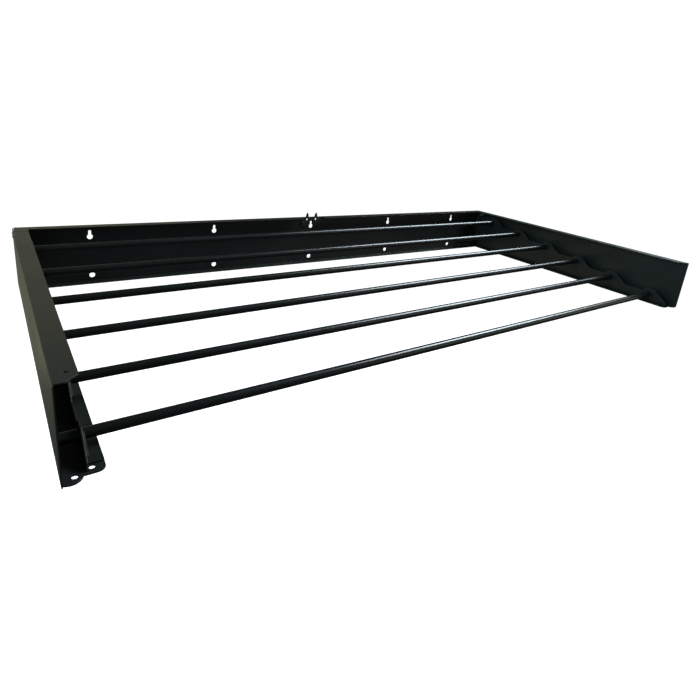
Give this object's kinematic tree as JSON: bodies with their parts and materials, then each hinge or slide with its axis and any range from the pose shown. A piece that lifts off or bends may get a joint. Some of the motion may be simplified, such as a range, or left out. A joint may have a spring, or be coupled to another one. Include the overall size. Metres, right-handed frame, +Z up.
{
  "type": "wall mounted folding clothes drying rack",
  "caption": "Wall panel with keyholes and a lift-up frame of two folded sheet arms joined by round drying rods.",
  "frame": {"origin": "middle of the wall panel's back face", "axes": "+X along the rods to the right, +Y into the wall, +Z up"},
  "size_m": [1.2032, 0.596, 0.121],
  "materials": {
    "powder_coat": "fine textured satin black powder coat",
    "rod_coat": "smooth semi-gloss black powder coat",
    "black_plastic": "matte moulded nylon",
    "nylon": "natural nylon",
    "rubber": "soft matte rubber",
    "zinc_steel": "bright zinc plate"
  },
  "bodies": {
    "panel": {"wall_panel": "powder_coat", "hook_plate": "powder_coat", "hook_plate_rivets": "powder_coat", "pivot_plate_left": "powder_coat", "pivot_plate_right": "powder_coat", "pivot_pin_left": "zinc_steel", "pivot_pin_right": "zinc_steel", "pivot_washer_left": "nylon", "pivot_washer_right": "nylon", "pivot_nut_left": "zinc_steel", "pivot_nut_right": "zinc_steel", "bumper_left": "rubber", "bumper_right": "rubber"},
    "frame": {"arm_left": "powder_coat", "arm_right": "powder_coat", "rod_rail_left": "powder_coat", "rod_rail_right": "powder_coat", "rod_1": "rod_coat", "rod_2": "rod_coat", "rod_3": "rod_coat", "rod_4": "rod_coat", "rod_5": "rod_coat", "rod_6": "rod_coat", "rod_plugs_left": "black_plastic", "rod_plugs_right": "black_plastic", "rod_grommets_left": "black_plastic", "rod_grommets_right": "black_plastic"}
  },
  "joints": [
    {"name": "frame_fold", "type": "hinge", "parent": "panel", "child": "frame", "pos_m": [0, -0.022, 0.047], "axis": [-1, 0, 0], "range_deg": [0, 90]}
  ]
}
